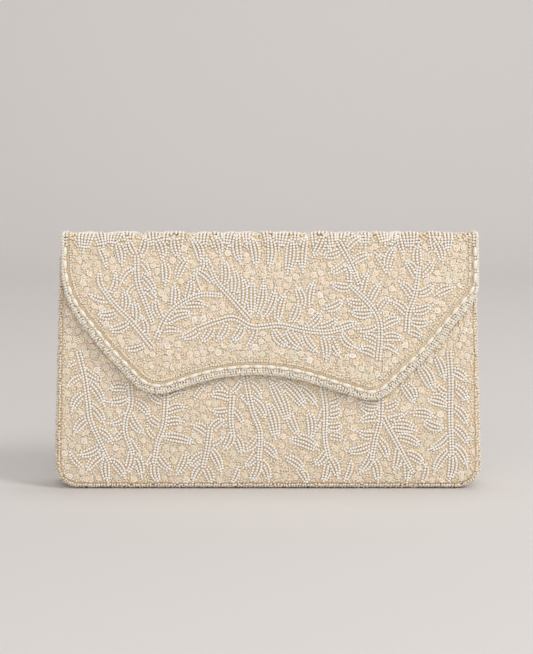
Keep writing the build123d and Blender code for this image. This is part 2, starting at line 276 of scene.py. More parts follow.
def band_route(along):
    """Satin-level place (x, z) and outward way on the gussets and base, from the left gusset's top."""
    along = np.asarray(along, float)
    mirrored = along > BAND_LENGTH / 2
    a = np.where(mirrored, BAND_LENGTH - along, along)
    turn = np.clip((a - BAND_SIDE) / BAND_ARC, 0, 1) * math.pi / 2
    z = np.where(a < BAND_SIDE, gusset_top - a, CORNER - (CORNER - BEAD_LAYER) * np.sin(turn))
    run = np.maximum(a - BAND_SIDE - BAND_ARC, 0)
    round_x = INNER + (CORNER - BEAD_LAYER) * np.cos(turn) - run
    x = np.where(a < BAND_SIDE, half_width(z) - BEAD_LAYER, round_x)
    sign = np.where(mirrored, 1.0, -1.0)
    return sign * x, z, sign * np.cos(turn), -np.sin(turn)


def band_place(along, y, height):
    """The gussets and the base, between the rounded edges of the two walls."""
    along, y, height = np.broadcast_arrays(*[np.asarray(v, float) for v in (along, y, height)])
    x, z, way_x, way_z = band_route(along)
    normal = np.stack([way_x, np.zeros_like(x), way_z], -1)
    return np.stack([x, y, z], -1) + normal * height[..., None], normal


def band_half(along):
    """Half of the band's width, at satin level."""
    z = band_route(along)[1]
    return wall_depth(np.maximum(z, RIM)) - (RIM - BEAD_LAYER)


FOLD_RADIUS = 3.0
FOLD_ARC = FOLD_RADIUS + BEAD_LAYER / 2


def fold_start(radius):
    """Height and lean where a wall of that satin radius turns into the fold."""
    lean = 0.0
    for _ in range(6):
        z = strip_top - FOLD_RADIUS * (1 - math.sin(lean))
        lean = math.asin((z - BULGE_HEIGHT) / radius)
    return z, lean


fold_z, fold_lean = fold_start(FLAP_SATIN)
rear_z, rear_lean = fold_start(WALL_SATIN)
fold_front = -wall_depth(fold_z, FLAP_SATIN) + FOLD_RADIUS * math.cos(fold_lean)
fold_rear = wall_depth(rear_z) - FOLD_RADIUS * math.cos(rear_lean)
FRONT_TURN = math.pi / 2 - fold_lean
REAR_TURN = math.pi / 2 - rear_lean
S_TOP = fold_z + FOLD_ARC * FRONT_TURN
S_REAR = S_TOP + fold_rear - fold_front
S_END = S_REAR + FOLD_ARC * REAR_TURN


def flap_place(x, s, height):
    """The flap, then the fold over the mouth. s is the height up to the fold, then the way along it."""
    x, s, height = np.broadcast_arrays(*[np.asarray(v, float) for v in (x, s, height)])
    z = np.minimum(s, fold_z)
    lean = np.arcsin((z - BULGE_HEIGHT) / FLAP_SATIN)
    turn = np.clip((s - fold_z) / FOLD_ARC, 0, FRONT_TURN)
    on_top = np.clip(s - S_TOP, 0, fold_rear - fold_front)
    back = np.clip((s - S_REAR) / FOLD_ARC, 0, None)
    angle = lean + turn + back
    normal = np.stack([np.zeros_like(x), -np.cos(angle), np.sin(angle)], -1)
    flat = np.stack([x, -wall_depth(z, FLAP_SATIN), z], -1)
    centre_y = np.where(s > S_REAR, fold_rear, fold_front)
    round_y = centre_y - FOLD_RADIUS * np.cos(angle)
    round_z = strip_top - FOLD_RADIUS + FOLD_RADIUS * np.sin(angle)
    top = np.stack([x, fold_front + on_top, np.full_like(x, strip_top)], -1)
    curved = np.stack([x, round_y, round_z], -1)
    level = (s > S_TOP) & (s <= S_REAR)
    at = np.where((s <= fold_z)[..., None], flat, np.where(level[..., None], top, curved))
    return at + normal * height[..., None], normal


def side_inset(inset):
    """The inset up the flap's two sides, where the trim is narrower."""
    return min(inset, max(ROPE_WIDTH - SIDE_PINCH, inset - SIDE_PINCH))


def flap_route(inset, step=0.5):
    """Points along the flap's outline, that far inside it, from the fold's back left to its back right."""
    above, arc_points = S_END + 20, 24
    corners = [(flap_left, FLAP_SIDE_CORNERS[0]), *FLAP_CORNERS, (flap_right, FLAP_SIDE_CORNERS[1])]
    route = np.array([(flap_left, above), *corners, (flap_right, above)], float)
    insets = [side_inset(inset), *[inset] * (len(route) - 3), side_inset(inset)]
    moved, radii = [], []
    for k, radius in enumerate(FLAP_RADII):
        before, at, after = route[k : k + 3]
        way_in, way_out = [w / np.hypot(*w) for w in (at - before, after - at)]
        inward = [np.array([-w[1], w[0]]) for w in (way_in, way_out)]
        shared = inward[0] @ inward[1]
        shares = [insets[k] - shared * insets[k + 1], insets[k + 1] - shared * insets[k]]
        moved.append(at + (inward[0] * shares[0] + inward[1] * shares[1]) / (1 - shared**2))
        radii.append(radius - math.copysign(inset, way_in[0] * way_out[1] - way_in[1] * way_out[0]))
    ends = [(flap_left + insets[0], S_END), (flap_right - insets[-1], S_END)]
    points, line = [ends[0]], [ends[0], *moved, ends[1]]
    for before, at, after, radius in zip(line, line[1:], line[2:], radii):
        back, on = [np.array(p) - at for p in (before, after)]
        back, on = back / np.hypot(*back), on / np.hypot(*on)
        half = math.acos(np.clip(back @ on, -1, 1)) / 2
        centre = at + (back + on) / np.hypot(*(back + on)) * radius / math.sin(half)
        start, stop = at + back * radius / math.tan(half), at + on * radius / math.tan(half)
        first = math.atan2(*(start - centre)[::-1])
        swing = (math.atan2(*(stop - centre)[::-1]) - first + math.pi) % (2 * math.pi) - math.pi
        for angle in first + swing * np.linspace(0, 1, arc_points):
            points.append(centre + radius * np.array([math.cos(angle), math.sin(angle)]))
    points.append(ends[1])
    return spaced(np.array(points), step)


def spaced(points, step):
    """The same line with points a step apart, or as near to it as fits its length."""
    along = np.concatenate([[0], np.cumsum(np.hypot(*np.diff(points, axis=0).T))])
    at = np.linspace(0, along[-1], max(2, round(along[-1] / step) + 1))
    return np.stack([np.interp(at, along, points[:, k]) for k in (0, 1)], 1)


def depth_inside(route, x, s):
    """How far design points are inside a route that is open at its top, and negative outside it."""
    a, b = route[:-1], route[1:]
    way = b - a
    best = np.full(len(x), 1e9)
    inside = np.zeros(len(x), bool)
    for (ax, az), (wx, wz) in zip(a, way):
        t = np.clip(((x - ax) * wx + (s - az) * wz) / (wx * wx + wz * wz), 0, 1)
        best = np.minimum(best, np.hypot(x - ax - t * wx, s - az - t * wz))
        crossing = (az > s) != (az + wz > s)
        hit = ax + (s - az) / (wz if wz else 1e-9) * wx
        inside ^= crossing & (hit > x)
    return np.where(inside, best, -best)


# --- Laying out the beadwork ---

# Stems, as points along them. The upper ones are the flap's, and the front has them under the flap too
UPPER_STEMS = [
    [(-63, 79.4), (-73.8, 92.5), (-83, 101.7), (-88.8, 109.4)],
    [(-60.7, 84), (-55.3, 95.5), (-46.8, 103.2), (-36, 107.5), (-25.5, 107)],
    [(-71.5, 128), (-70.7, 114), (-67, 104), (-62.5, 92)],
    [(-10, 94.5), (-20.6, 106.3), (-27.5, 114), (-31, 121)],
    [(-37.5, 89.5), (-28, 93), (-18.5, 94.8), (-8, 90), (6, 91), (21, 88), (33, 87.4), (46, 91)],
    [(60, 72.5), (61.1, 84), (60.2, 93.5), (55.5, 102), (44.6, 112.5)],
    [(75.5, 88), (76.5, 98), (80, 108), (82, 122)],
    [(38.4, 136), (44.6, 124.8), (49.5, 113.5)],
]
# Leaves: base x, base s, tip x, tip s, rows, and the bow to the left of that way in percent of the length
UPPER_LEAVES = [
    (-75, 92.5, -87, 88.5, 3, 10), (-80.5, 98.5, -93.5, 97, 3, 12), (-66, 81, -79, 78, 2, 10),
    (-72, 91.5, -73, 104.5, 3, -8), (-78, 98, -78.5, 110, 3, -10), (-88.8, 109, -91.5, 120.5, 2, 10),
    (-84.5, 104, -97.5, 107.5, 2, 8), (-66.5, 84.5, -69, 96, 2, -12), (-86.5, 107.5, -83, 119.5, 2, -12),
    (-57.6, 94, -61, 106, 3, 12), (-51.5, 100.5, -51, 113.5, 3, -8), (-44.5, 104.5, -42, 116.5, 3, -10),
    (-56, 92, -40, 97, 3, 12), (-47, 101.5, -33, 101.5, 3, 10), (-36.5, 108, -40, 120.5, 3, 14),
    (-29.5, 113.5, -40, 121.5, 3, -12), (-59.5, 87, -47, 87.5, 2, 12), (-71, 119.5, -61, 108, 3, 8),
    (-72, 122, -80.5, 112.5, 3, -10), (-69, 111, -58.5, 101, 2, 8), (-70.5, 113.5, -77.5, 104.5, 2, -12),
    (-71.5, 127, -64, 117.5, 2, 10), (-71.5, 127.5, -76.5, 138, 3, 8), (-70, 127.5, -66.5, 139.5, 3, -8),
    (-82, 136, -79.5, 123, 3, 8), (-92, 133, -88, 122.5, 2, 6), (-56.5, 125.5, -56, 112.5, 3, 8),
    (-60.5, 138, -57, 126, 3, 10), (-49.5, 116, -43, 128, 3, 8), (-51, 139, -48, 127, 3, -8),
    (-41, 138, -36.5, 124, 3, 10), (-28, 114.5, -33.5, 128.5, 3, 12), (-24, 111.5, -24.5, 127, 3, -8),
    (-19.5, 106, -20, 123, 4, -6), (-14.5, 100, -14.5, 118, 3, -6), (-9.5, 96.5, -9, 117, 4, 5),
    (-6, 96, -2.5, 115, 3, -6), (-3, 94.5, 4, 111, 3, -6), (-29, 139, -26, 128.5, 3, 6),
    (-17, 140, -15, 124, 3, -6), (-9, 138.5, -6.5, 122, 3, 6), (1, 139, 0.5, 121.5, 3, 8),
    (-36, 90.5, -48, 84, 3, 10), (-30, 91.8, -37, 81.5, 3, 10), (-22, 93.2, -28, 82.5, 3, 10),
    (-13.5, 92, -20, 82, 3, 10), (-6.5, 89.5, -11.5, 79.5, 2, 10), (2.5, 89.5, 11.5, 79, 3, -10),
    (9.5, 89.5, 19, 78, 4, -10), (19, 87.5, 27.5, 76, 3, -10), (29.5, 86.2, 31.5, 71.5, 3, 8),
    (33, 86.2, 39.5, 73.5, 3, -8), (39.5, 87.2, 48.5, 78.5, 3, -12), (5, 92.5, 9.5, 109, 3, 6),
    (12, 92, 16.5, 104, 3, -8), (20.5, 89.5, 29, 98.5, 3, -10), (26, 89.5, 38.5, 95, 3, -12),
    (18.5, 99.5, 15, 112.5, 3, -10), (22.5, 101, 25, 115, 3, 8), (38, 90, 49.5, 92, 2, 8),
    (30.5, 99.5, 41, 105, 3, -10), (57.5, 98, 44, 98.5, 3, 10), (54.5, 103, 42, 104.5, 3, 10),
    (60, 91, 47, 88.5, 2, 10), (60.5, 80.5, 50.5, 85, 3, -12), (59.5, 74, 48.5, 78, 3, -14),
    (61.5, 80, 71, 75.5, 2, 12), (61.5, 84, 73.5, 83.5, 3, 10), (61, 89.5, 73, 94.5, 3, 8),
    (59, 96.5, 66.5, 106.5, 3, 8), (55, 102.5, 61.5, 114, 3, 8), (50.5, 107, 54.5, 120, 3, 8),
    (46, 111.5, 34, 113.5, 3, 10), (44, 113, 41.5, 124.5, 2, -10), (44, 127, 33, 119, 3, 10),
    (45.5, 124.5, 56, 129, 3, 10), (41, 132, 29, 129, 3, 12), (41.5, 131, 51.5, 139.5, 3, 10),
    (13, 138, 10.5, 118, 4, 6), (20.5, 139.5, 19, 119.5, 3, -6), (30.5, 139.5, 24, 127.5, 3, 8),
    (76, 96.5, 67, 104, 3, -10), (77.5, 98.5, 89.5, 102, 3, -10), (76.5, 93.5, 88.5, 93, 3, -10),
    (79, 105, 71, 114.5, 3, -10), (80, 107.5, 90.5, 113, 3, -10), (81, 115, 74, 126.5, 3, -10),
    (81.5, 117, 90, 126, 3, -10), (82, 121.5, 82, 135.5, 3, 8), (90.5, 107, 101.5, 111.5, 3, 8),
    (64.5, 121, 69.5, 134, 3, 10), (66, 118, 58, 130, 3, -10), (90.5, 137, 95, 124.5, 3, 8),
    (75.5, 89, 66.5, 97, 2, -10), (75, 88.5, 84.5, 84.5, 3, 10), (71, 140, 74, 129, 2, -6),
]
LOWER_STEMS = [
    [(-103.5, 76), (-100.4, 63.1), (-98.5, 49.3), (-97, 38), (-91, 24), (-87, 15)],
    [(-75.4, 58.5), (-75, 47.7), (-77.6, 39.5), (-78.1, 31.6), (-74.5, 21)],
    [(-55.5, 54.5), (-56.2, 42.3), (-57.3, 34.6), (-60.5, 26), (-62.5, 15)],
    [(-31.5, 34), (-33.2, 22.5), (-35.5, 12.5)],
    [(-19.6, 51.5), (-20.3, 39.3), (-19.2, 30)],
    [(-12.6, 63.5), (-8.8, 44.5), (-4.2, 31.6), (-4.9, 16.5)],
    [(29.5, 59), (31.5, 44), (31.3, 28.5), (33.5, 17.5)],
    [(61.8, 50), (61.5, 38), (58.8, 27.5), (57, 16.5)],
    [(63, 40), (69.5, 28), (79.5, 9.5)],
    [(98.8, 76), (100, 59.3), (100, 39.3), (101, 19.5)],
]
LOWER_LEAVES = [
    (-99.5, 61, -89.5, 46, 3, 8), (-101.5, 67.5, -91.5, 60, 3, -10), (-100, 53.5, -107.5, 43.5, 3, -12),
    (-101, 63, -110, 56, 2, -10), (-98.5, 48, -89.5, 36, 3, 8), (-97.5, 40, -106.5, 30.5, 3, -10),
    (-95, 33.5, -85.5, 25.5, 3, 10), (-102.5, 71, -109.5, 67.5, 2, -10), (-91.5, 24.5, -104.5, 19, 3, 10),
    (-89.5, 20, -100, 9.5, 3, -10), (-88.5, 18.5, -88, 3.5, 3, -8), (-87, 17, -78.5, 6, 3, 8),
    (-102, 12, -109, 21, 2, 8), (-76, 56, -87.5, 55.5, 3, -10), (-75.5, 51, -88, 48.5, 3, 10),
    (-76.5, 42.5, -87.5, 36.5, 3, 12), (-74.8, 50, -64.5, 40.5, 3, 10), (-76, 43.5, -67.5, 30.5, 3, -10),
    (-78, 34.5, -85, 27, 2, 10), (-77, 29, -69.5, 18, 3, -8), (-75, 22.5, -79, 8, 3, 10),
    (-74, 20.5, -69.5, 6.5, 3, 8), (-56, 48, -65.5, 55.5, 3, 10), (-55.8, 50, -45.5, 54, 3, 12),
    (-56.2, 42.5, -44.5, 45.5, 3, 12), (-57, 36.5, -46, 37.5, 3, 12), (-57.5, 35, -66.5, 42.5, 3, 10),
    (-60, 27.5, -66.5, 35.5, 2, 10), (-58.5, 29.5, -40, 25.5, 3, 6), (-61.5, 23, -68, 12.5, 2, 8),
    (-61, 20.5, -53, 10.5, 3, -10), (-62, 16.5, -60, 3, 3, -10), (-32, 31.5, -23, 39, 3, 12),
    (-32.5, 30, -42, 36, 3, -12), (-33, 24.5, -24, 29.5, 2, -10), (-33, 24, -25.5, 8.5, 3, 8),
    (-33.8, 20, -43.5, 12, 3, -10), (-35, 14.5, -41.5, 3.5, 3, -8), (-35.2, 13.5, -31, 2.5, 3, 8),
    (-45, 20.5, -50.5, 8, 3, 8), (-19.8, 50, -32.5, 52.5, 3, -12), (-20, 44.5, -31.5, 44, 3, 12),
    (-19.8, 45.5, -13.5, 36, 2, 8), (-20, 40, -29.5, 34.5, 2, 10), (-19.5, 33, -25, 21.5, 3, 10),
    (-19, 31, -14.5, 19, 3, 8), (-21, 53, -14.5, 61.5, 2, -10), (-21.5, 53.5, -28, 60.5, 3, 10),
    (-40.5, 50, -34.5, 58, 2, 6), (-8.5, 44, -15.5, 52.5, 2, -8), (-10, 51, -1, 38.5, 3, 8),
    (-12, 60, -3.5, 50.5, 3, 8), (-5.5, 30, -14, 21, 3, 10), (-4.6, 24.5, -13.5, 12, 3, 10),
    (-4.6, 26, 5, 17, 3, 10), (-4.8, 18, -10, 3.5, 3, 8), (-4.8, 17, 0.5, 4, 3, 8),
    (-16, 12.5, -20.5, 2.5, 2, 6), (1, 61, 11.5, 35.5, 4, 5), (-1, 49, 4.5, 27, 4, 5),
    (7, 60.5, 20.5, 45, 4, 6), (16, 57.5, 27, 46, 3, 6), (11, 45, 17, 29.5, 3, -6),
    (11.5, 28.5, 28.5, 21.5, 4, 10), (22, 43.5, 23, 27, 3, 10), (31, 46, 26, 33, 3, 8),
    (9.5, 18, 20, 10, 3, 10), (31, 47.5, 40.5, 51.5, 3, -12), (31.5, 41.5, 41, 44.5, 3, -12),
    (31.5, 35, 41.5, 36.5, 3, -12), (31.3, 30, 42, 27.5, 3, 10), (32.5, 22, 25, 13, 3, 10),
    (33, 19, 38.5, 6, 3, 8), (33, 18.5, 30, 3, 3, 8), (30, 55.5, 38.5, 59, 2, -10),
    (15.5, 13, 22, 2.5, 3, 8), (61.5, 45.5, 49.5, 48, 4, 12), (61.5, 39.5, 49.5, 37.5, 3, -12),
    (59.5, 31, 49, 32, 3, 14), (58, 25.5, 43, 21, 3, 8), (57.5, 22, 49.5, 8.5, 3, 10),
    (57.2, 18, 60.5, 3.5, 3, 8), (59.5, 29, 66, 16.5, 3, 8), (46, 16, 42, 4, 2, 6),
    (62, 45, 72, 49.5, 3, -12), (66.5, 35, 82, 32.5, 4, 10), (69.5, 29.5, 84, 24, 3, 10),
    (71.5, 24.5, 69, 9.5, 3, 8), (75.5, 18, 76.5, 3.5, 3, 8), (74, 20.5, 86, 13.5, 3, 10),
    (64.5, 38.5, 75.5, 42, 3, -10), (73.5, 59, 80.5, 48, 4, 8), (82.5, 69, 90.5, 54.5, 4, 6),
    (87.5, 50.5, 99, 46.5, 4, 10), (78, 42.5, 91.5, 40, 3, 10), (91.5, 74, 96.5, 60.5, 3, 6),
    (84.5, 38.5, 97.5, 34, 3, -10), (100.2, 58, 109.5, 48.5, 3, 10), (99.5, 66, 109, 60, 3, 10),
    (100.2, 46.5, 109.5, 35.5, 3, 10), (100.2, 36, 110, 24.5, 3, 10), (100, 32, 88, 22, 3, 10),
    (100.5, 25.5, 109.5, 12.5, 3, 10), (100.5, 23, 91, 8.5, 3, -8), (101, 20.5, 99.5, 4.5, 3, 8),
    (87.5, 14, 84.5, 2.5, 2, 6), (99.5, 53, 92, 58.5, 2, 10),
]


class Plot:
    """What is already laid on one panel, in its design plane, for quick tests of room."""

    CELL = 2.0

    def __init__(self):
        self.cells = defaultdict(list)

    def free(self, x, s, reach):
        """Whether no earlier bead comes nearer than half of the two reaches added up."""
        i, j = int(x // self.CELL), int(s // self.CELL)
        for a in (i - 1, i, i + 1):
            for b in (j - 1, j, j + 1):
                for px, ps, other in self.cells.get((a, b), ()):
                    if (px - x) ** 2 + (ps - s) ** 2 < ((reach + other) / 2) ** 2:
                        return False
        return True

    def take(self, x, s, reach):
        self.cells[(int(x // self.CELL), int(s // self.CELL))].append((x, s, reach))


def smooth_line(points, step=0.25):
    """A smooth line through given points."""
    points = np.array(points, float)
    ends = np.vstack([2 * points[0] - points[1], points, 2 * points[-1] - points[-2]])
    t = np.linspace(0, 1, 16, endpoint=False)[:, None]
    line = []
    for a, b, c, d in zip(ends, ends[1:], ends[2:], ends[3:]):
        bend, twist = 2 * a - 5 * b + 4 * c - d, 3 * b - a - 3 * c + d
        line.append(0.5 * (2 * b + (c - a) * t + bend * t**2 + twist * t**3))
    return spaced(np.vstack([*line, points[-1:]]), step)


THREAD_REACH = 1.16


def thread_beads(line, beads, plot, allowed, lift, crown=0.0):
    """Beads a pitch apart along a line, left out where they would lie on another or aren't allowed."""
    placed = spaced(line, BEAD_PITCH)
    ways = np.gradient(placed, axis=0)
    ways /= np.maximum(np.hypot(*ways.T), 1e-9)[:, None]
    ok = allowed(placed[:, 0], placed[:, 1])
    heights = lift + crown * np.sin(math.pi * np.linspace(0, 1, len(placed))) ** 0.6
    for (x, s), way, fine, height in zip(placed, ways, ok, heights):
        if fine and plot.free(x, s, THREAD_REACH):
            plot.take(x, s, THREAD_REACH)
            beads.add(x, s, way, height)


# A leaf's height, how much its outer and its middle rows rise, and how much of its base and tip each
# row outwards leaves out
LEAF_LIFT = 0.55
LEAF_RISE = 0.15
LEAF_CROWN = 0.378
BASE_CUT = 0.05
TIP_CUT = 0.07
# How full a leaf's outline is, and how far its widest place lies towards the tip
LEAF_FULLNESS = 0.55
LEAF_LEAN = 0.85
STEM_LIFT = 0.9
STEM_SPREAD = 0.47


def lay_leaf(leaf, beads, plot, allowed):
    """Rows of beads side by side that spread from the leaf's base and close up at its tip."""
    x0, s0, x1, s1, rows, percent = leaf
    start, stop = np.array([x0, s0]), np.array([x1, s1])
    along = stop - start
    length = np.hypot(*along)
    left = np.array([-along[1], along[0]]) / length
    centre = (rows - 1) / 2
    for row in sorted(range(rows), key=lambda r: abs(r - centre)):
        off = row - centre
        t = np.linspace(BASE_CUT * abs(off), 1 - TIP_CUT * abs(off), 60)
        spread = np.sin(math.pi * t**LEAF_LEAN) ** LEAF_FULLNESS
        aside = percent / 100 * length * np.sin(math.pi * t) + off * ROW_PITCH * spread
        line = start + t[:, None] * along + aside[:, None] * left
        crown = LEAF_RISE + LEAF_CROWN * (1 - abs(off) / (centre + 0.6))
        thread_beads(line, beads, plot, allowed, LEAF_LIFT, crown)


def lay_sprays(stems, leaves, beads, plot, allowed, mirror=1.0):
    """Stems of two rows first, then leaves, so that a leaf's rows stop where they meet a stem."""
    for stem in stems:
        line = smooth_line([(mirror * x, s) for x, s in stem])
        normal = np.gradient(line, axis=0)[:, ::-1] * [-1, 1]
        normal /= np.hypot(*normal.T)[:, None]
        taper = np.linspace(1.0, 0.75, len(line))[:, None]
        for side in (-STEM_SPREAD, STEM_SPREAD):
            row = line + normal * side * ROW_PITCH * taper
            thread_beads(row, beads, plot, allowed, STEM_LIFT)
    for x0, s0, x1, s1, rows, percent in leaves:
        lay_leaf((mirror * x0, s0, mirror * x1, s1, rows, mirror * percent), beads, plot, allowed)


# Tries for each square millimetre, and how near the next bead may come
SEQUIN_TRIES = 0.4
SEQUIN_ROOM = 4.0
SEQUIN_REACH = 2.7
SEED_TRIES = 3.2
SEED_REACH = 1.25
UPRIGHT_SHARE = 0.6


def lay_ground(rng, box, allowed, plot, beads, sequins=None, sequins_below=1e3):
    """Cup sequins with a bead in each, then small beads in whatever room is left."""
    (x0, x1), (s0, s1) = box
    area = (x1 - x0) * (s1 - s0)
    spots = rng.uniform((x0, s0), (x1, s1), (int(area * SEQUIN_TRIES) if sequins else 0, 2))
    ok = allowed(spots[:, 0], spots[:, 1], SEQUIN_ROOM) & (spots[:, 1] < sequins_below)
    for x, s in spots[ok]:
        if plot.free(x, s, SEQUIN_ROOM):
            plot.take(x, s, SEQUIN_REACH)
            turn = rng.uniform(0, 2 * math.pi)
            way = (math.cos(turn), math.sin(turn))
            size = SEQUIN_RADIUS * rng.uniform(0.9, 1.06)
            lift = rng.uniform(0.3, 0.55)
            sequins.add(x, s, way, lift, size, size, 1.0 - abs(rng.normal(0, 0.14)))
            beads.add(x, s, way, 0.75, 0.7, 0.5, 0.9)
    count = int(area * SEED_TRIES)
    spots = rng.uniform((x0, s0), (x1, s1), (count, 2))
    ok = allowed(spots[:, 0], spots[:, 1], 0.5)
    turns = rng.uniform(0, 2 * math.pi, count)
    upright = rng.random(count) < UPRIGHT_SHARE
    tilts = np.where(upright, rng.normal(0.9, 0.2, count), rng.normal(0, 0.25, count))
    radii = BEAD_RADIUS * rng.uniform(0.86, 1.03, count)
    lifts = rng.uniform(0.25, 0.5, count)
    for (x, s), fine, turn, tilt, radius, lift in zip(spots, ok, turns, tilts, radii, lifts):
        if fine and plot.free(x, s, SEED_REACH):
            plot.take(x, s, SEED_REACH)
            beads.add(x, s, (math.cos(turn), math.sin(turn)), lift, radius, radius * 0.9, tilt)


# --- Materials ---

# The painted light levels at which a bead shows its full painted shade colour and its own colour
FULL_PAINTED_SHADE_AT = 0.38
NO_PAINTED_SHADE_AT = 0.8


def plain(name, colour, roughness, **constants):
    """A Principled material of constants."""
    made = bpy.data.materials.new(name)
    made.use_nodes = True
    shader = made.node_tree.nodes["Principled BSDF"]
    shader.inputs["Base Color"].default_value = (*colour, 1)
    shader.inputs["Roughness"].default_value = roughness
    for socket, value in constants.items():
        shader.inputs[socket.replace("_", " ")].default_value = value
    return made


def ramp_over(made, source, stops):
    """The base colour runs through the stops (position, colour) as the source goes from 0 to 1."""
    nodes, links = made.node_tree.nodes, made.node_tree.links
    ramp = nodes.new("ShaderNodeValToRGB")
    elements = ramp.color_ramp.elements
    while len(elements) < len(stops):
        elements.new(0.5)
    for element, (position, colour) in zip(elements, stops):
        element.position = position
        element.color = (*colour, 1)
    links.new(source, ramp.inputs["Fac"])
    links.new(ramp.outputs["Color"], nodes["Principled BSDF"].inputs["Base Color"])


def per_bead(name, stops, painted_shade_colour, roughness, coat, coat_roughness):
    """A bead material: its colour differs from bead to bead, and turns to a painted shade colour where its
    painted light is low.
    """
    made = plain(name, stops[0][1], roughness, Coat_Weight=coat, Coat_Roughness=coat_roughness)
    nodes, links = made.node_tree.nodes, made.node_tree.links
    geometry = nodes.new("ShaderNodeNewGeometry")
    ramp_over(made, geometry.outputs["Random Per Island"], stops)
    base = nodes["Principled BSDF"].inputs["Base Color"]
    painted_light = nodes.new("ShaderNodeAttribute")
    painted_light.attribute_name = "painted_light"
    spread = nodes.new("ShaderNodeMapRange")
    spread.inputs["From Min"].default_value = FULL_PAINTED_SHADE_AT
    spread.inputs["From Max"].default_value = NO_PAINTED_SHADE_AT
    mixed = nodes.new("ShaderNodeMix")
    mixed.data_type = "RGBA"
    # Colour A is the painted shade colour
    mixed.inputs["A"].default_value = (*painted_shade_colour, 1)
    links.new(painted_light.outputs["Fac"], spread.inputs["Value"])
    links.new(spread.outputs["Result"], mixed.inputs["Factor"])
    links.new(base.links[0].from_socket, mixed.inputs["B"])
    links.new(mixed.outputs["Result"], base)
    return made


def woven(name, low, high, roughness, scale, depth, sheen=0.2):
    """A cloth: its colour varies along a fine noise and a bump of the same scale stands for the weave."""
    made = plain(name, low, roughness, Sheen_Weight=sheen)
    nodes, links = made.node_tree.nodes, made.node_tree.links
    coordinates = nodes.new("ShaderNodeTexCoord")
    noise = nodes.new("ShaderNodeTexNoise")
    noise.inputs["Scale"].default_value = scale
    noise.inputs["Detail"].default_value = 3.0
    links.new(coordinates.outputs["Object"], noise.inputs["Vector"])
    ramp_over(made, noise.outputs["Fac"], [(0.3, low), (0.7, high)])
    bump = nodes.new("ShaderNodeBump")
    bump.inputs["Strength"].default_value = 0.5
    bump.inputs["Distance"].default_value = depth
    links.new(noise.outputs["Fac"], bump.inputs["Height"])
    links.new(bump.outputs["Normal"], nodes["Principled BSDF"].inputs["Normal"])
    return made


# The colour after the stops in each bead material is its painted shade colour: darker and warmer, standing
# in for shade towards the cloth and light bounced off the satin
leaf_bead = per_bead(
    "leaf_bead", [(0.0, (0.88, 0.85, 0.79)), (0.5, (0.89, 0.87, 0.83)), (1.0, (0.88, 0.83, 0.75))],
    (0.90, 0.71, 0.46), 0.5, 0.15, 0.15,
)
seed_bead = per_bead(
    "seed_bead",
    [(0.0, (0.83, 0.72, 0.57)), (0.3, (0.83, 0.74, 0.61)), (0.7, (0.84, 0.77, 0.67)),
     (1.0, (0.85, 0.82, 0.77))],
    (0.91, 0.75, 0.53), 0.5, 0.15, 0.15,
)
sequin_film = per_bead(
    "sequin_film",
    [(0.0, (0.81, 0.74, 0.62)), (0.3, (0.84, 0.69, 0.64)), (0.55, (0.75, 0.78, 0.65)),
     (0.75, (0.81, 0.75, 0.65)), (0.92, (0.84, 0.80, 0.73)), (1.0, (0.95, 0.96, 0.97))],
    (0.88, 0.71, 0.48), 0.3, 0.4, 0.1,
)
rocaille = per_bead(
    "rocaille", [(0.0, (0.84, 0.77, 0.64)), (0.4, (0.85, 0.81, 0.73)), (1.0, (0.86, 0.85, 0.81))],
    (0.90, 0.76, 0.54), 0.4, 0.3, 0.12,
)
pearl = plain("pearl", (0.85, 0.78, 0.67), 0.3, Coat_Weight=0.6, Coat_Roughness=0.1)
glass_spacer = plain("glass_spacer", (0.93, 0.85, 0.70), 0.15, Coat_Weight=0.8)
gold_thread = woven("gold_thread", (0.76, 0.61, 0.39), (0.88, 0.77, 0.58), 0.38, 900, 0.00008)
ground_satin = woven("ground_satin", (0.84, 0.68, 0.47), (0.88, 0.75, 0.56), 0.45, 1400, 0.00004)
lining_satin = woven("lining_satin", (0.70, 0.62, 0.50), (0.77, 0.70, 0.58), 0.38, 900, 0.00005, 0.25)
trim_satin = woven("trim_satin", (0.60, 0.49, 0.34), (0.70, 0.60, 0.45), 0.4, 1200, 0.00005)
buckram = woven("buckram", (0.72, 0.68, 0.60), (0.80, 0.77, 0.70), 0.85, 700, 0.0001, 0.0)
gilt = plain("gilt", (0.78, 0.60, 0.32), 0.24, Metallic=1.0)
ferrite = plain("ferrite", (0.06, 0.06, 0.065), 0.55)
BEAD_KINDS = (("leaf_beads", THREADED_BEAD, leaf_bead), ("seed_beads", SEED_BEAD, seed_bead),
              ("sequins", SEQUIN, sequin_film))


# --- Pieces ---


def settle(piece, holder, nodes):
    """Puts a finished piece on its body, or, if it crosses two, bakes its place into its mesh and leaves
    it on none, and hides the CAD nodes it stands for.
    """
    if len(holder) == 1:
        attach(piece, holder[0])
    else:
        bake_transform(piece)
    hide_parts(*nodes)
    return piece


# One point on each side of the fold's two hinges, listed with the cloth and beads that cross them; nothing
# reads these points
FLAP_SIDE_OF_FRONT = (0, (fold_front - FOLD_RADIUS - 1.0) * MM, (fold_z - 2.5) * MM)
TOP_SIDE_OF_FRONT = (0, (fold_front + 1.0) * MM, strip_top * MM)
TOP_SIDE_OF_REAR = (0, (fold_rear - 1.0) * MM, strip_top * MM)
BACK_SIDE_OF_REAR = (0, (fold_rear + FOLD_RADIUS + 1.0) * MM, (rear_z - 2.5) * MM)
FOLD_FROM = fold_z - 3.0
FOLD_SPLIT = S_TOP + 6.5
ACROSS_FRONT = ["flap", "top_fold", FLAP_SIDE_OF_FRONT, TOP_SIDE_OF_FRONT]
ACROSS_REAR = ["top_fold", "purse_body", TOP_SIDE_OF_REAR, BACK_SIDE_OF_REAR]
